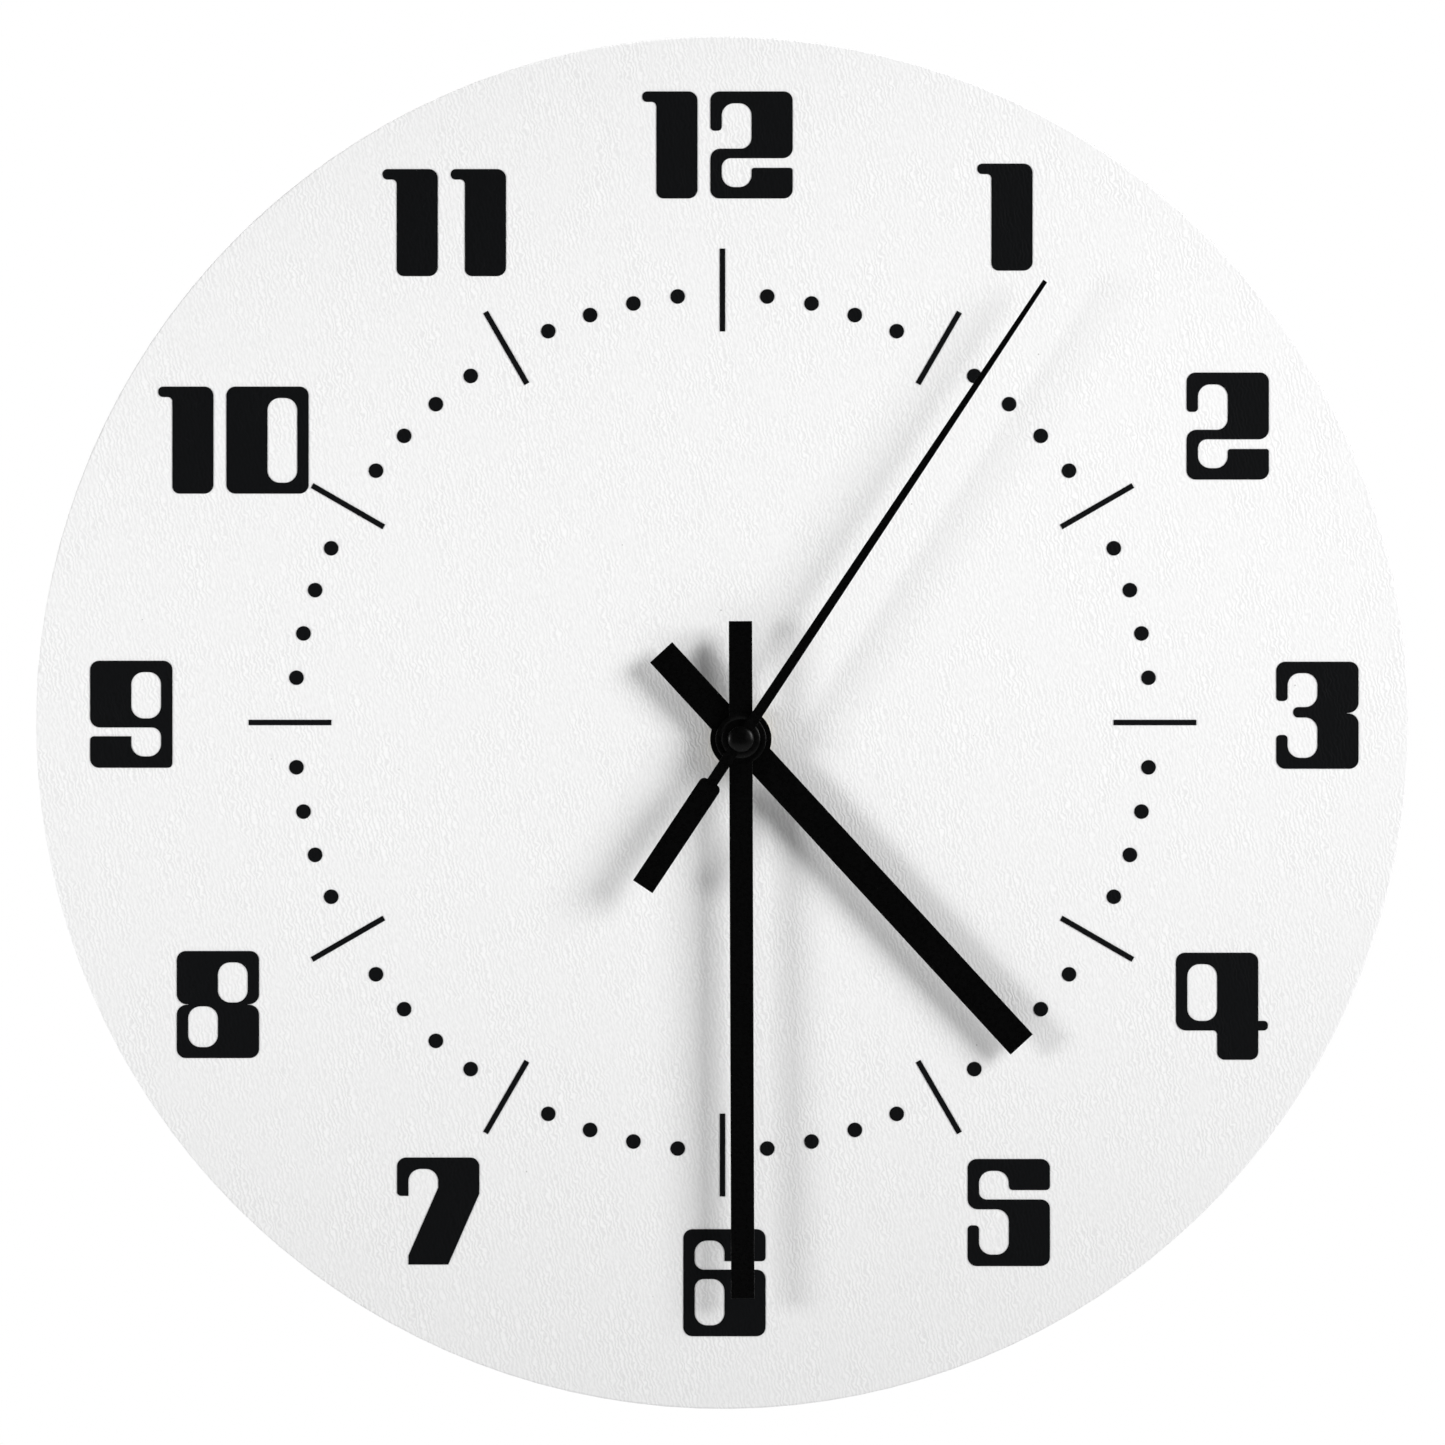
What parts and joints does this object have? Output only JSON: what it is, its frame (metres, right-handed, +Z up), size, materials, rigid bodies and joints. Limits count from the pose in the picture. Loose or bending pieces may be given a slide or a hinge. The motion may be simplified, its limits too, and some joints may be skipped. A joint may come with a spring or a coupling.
{
  "type": "wall clock",
  "caption": "Frameless round wall clock: white streaked dial with heavy black numerals, black hands, and a geared battery movement and hanger behind.",
  "frame": {"origin": "on the wall plane, behind the middle of the dial, on the flat back of the movement case", "axes": "+Z up, +X to the right as the dial is read, -Y out of the wall towards the reader, +Y into the wall"},
  "size_m": [0.3, 0.0328, 0.3],
  "materials": {
    "board": "raw fibreboard, light brown",
    "face_sheet": "off-white printed sheet with a fine streaked grain",
    "print_ink": "matt black print",
    "hand_paint": "matt black painted aluminium",
    "case_plastic": "moulded black ABS, fine spark texture",
    "lid_plastic": "moulded black ABS",
    "plate_plastic": "moulded natural ABS",
    "gear_plastic": "moulded natural acetal",
    "knob_plastic": "moulded white acetal",
    "steel": "turned and ground steel",
    "brass": "turned brass",
    "spring_bronze": "phosphor bronze strip",
    "contact_nickel": "nickel plated spring strip",
    "hanger_zinc": "bright zinc plated steel",
    "screw_brass": "brass plated steel",
    "battery_wrap": "printed shrink sleeve, plain",
    "board_green": "solder mask over glass laminate",
    "chip_epoxy": "black epoxy drop",
    "crystal_can": "drawn tin plated can",
    "bobbin_plastic": "moulded nylon",
    "copper_wire": "enamelled copper wire",
    "core_steel": "stamped soft magnetic steel",
    "magnet": "sintered magnet",
    "rubber": "soft black rubber"
  },
  "bodies": {
    "movement_and_dial": {"dial_board": "board", "dial_face": "face_sheet", "numerals": "print_ink", "hour_ticks": "print_ink", "minute_dots": "print_ink", "hanger_plate": "hanger_zinc", "hanger_screws": "screw_brass", "rear_case": "case_plastic", "front_case": "lid_plastic", "middle_plate": "plate_plastic", "positive_contact": "contact_nickel", "negative_contact": "contact_nickel", "circuit_board": "board_green", "control_chip": "chip_epoxy", "quartz_crystal": "crystal_can", "coil_bobbin": "bobbin_plastic", "coil_winding": "copper_wire", "coil_core": "core_steel", "stator": "core_steel", "rubber_washer": "rubber", "brass_washer": "brass", "hex_nut": "brass"},
    "battery": {"battery": "battery_wrap"},
    "rotor": {"rotor_magnet": "magnet", "rotor_pinion": "gear_plastic", "rotor_arbor": "steel"},
    "intermediate_wheel": {"intermediate_wheel": "gear_plastic", "intermediate_arbor": "steel"},
    "second_hand": {"second_wheel": "gear_plastic", "second_arbor": "steel", "second_hand": "hand_paint", "second_hand_socket": "hand_paint"},
    "third_wheel": {"third_wheel": "gear_plastic", "third_pinion": "brass", "third_arbor": "steel"},
    "centre_wheel": {"centre_wheel": "brass", "centre_wheel_bush": "brass"},
    "minute_hand": {"minute_pipe": "steel", "cannon_pinion": "brass", "clutch_spring": "spring_bronze", "minute_hand": "hand_paint", "minute_hand_collet": "hand_paint"},
    "motion_wheel": {"motion_wheel": "gear_plastic"},
    "hour_hand": {"hour_wheel": "gear_plastic", "hour_pipe": "gear_plastic", "hour_hand": "hand_paint", "hour_hand_collet": "hand_paint"},
    "setting_knob": {"setting_knob": "knob_plastic", "setting_pinion": "gear_plastic"}
  },
  "joints": [
    {"name": "battery_slide", "type": "slide", "parent": "movement_and_dial", "child": "battery", "axis": [0, 1, 0], "range_m": [0, 0.025]},
    {"name": "second_hand_spin", "type": "hinge", "parent": "movement_and_dial", "child": "second_hand", "pos_m": [0.004, 0, -0.0036], "axis": [0, 1, 0], "continuous": true},
    {"name": "intermediate_wheel_spin", "type": "hinge", "parent": "movement_and_dial", "child": "intermediate_wheel", "pos_m": [-0.0051, 0, -0.0036], "axis": [0, 1, 0], "continuous": true},
    {"name": "rotor_spin", "type": "hinge", "parent": "movement_and_dial", "child": "rotor", "pos_m": [-0.0087, 0, 0.00264], "axis": [0, 1, 0], "continuous": true},
    {"name": "third_wheel_spin", "type": "hinge", "parent": "movement_and_dial", "child": "third_wheel", "pos_m": [0.01236, 0, 0.00225], "axis": [0, 1, 0], "continuous": true},
    {"name": "centre_wheel_spin", "type": "hinge", "parent": "movement_and_dial", "child": "centre_wheel", "pos_m": [0.004, 0, -0.0036], "axis": [0, 1, 0], "continuous": true},
    {"name": "minute_hand_spin", "type": "hinge", "parent": "movement_and_dial", "child": "minute_hand", "pos_m": [0.004, 0, -0.0036], "axis": [0, 1, 0], "continuous": true},
    {"name": "motion_wheel_spin", "type": "hinge", "parent": "movement_and_dial", "child": "motion_wheel", "pos_m": [0.00233, 0, 0.00585], "axis": [0, 1, 0], "continuous": true},
    {"name": "hour_hand_spin", "type": "hinge", "parent": "movement_and_dial", "child": "hour_hand", "pos_m": [0.004, 0, -0.0036], "axis": [0, 1, 0], "continuous": true},
    {"name": "setting_knob_spin", "type": "hinge", "parent": "movement_and_dial", "child": "setting_knob", "pos_m": [0.00713, 0, 0.01417], "axis": [0, 1, 0], "continuous": true}
  ],
  "couplings": [
    {"joint": "intermediate_wheel_spin", "follows": "second_hand_spin", "ratio": -6},
    {"joint": "rotor_spin", "follows": "second_hand_spin", "ratio": 30},
    {"joint": "third_wheel_spin", "follows": "second_hand_spin", "ratio": -0.13333},
    {"joint": "centre_wheel_spin", "follows": "second_hand_spin", "ratio": 0.016667},
    {"joint": "motion_wheel_spin", "follows": "minute_hand_spin", "ratio": -0.33333},
    {"joint": "hour_hand_spin", "follows": "minute_hand_spin", "ratio": 0.083333},
    {"joint": "setting_knob_spin", "follows": "minute_hand_spin", "ratio": 1}
  ]
}
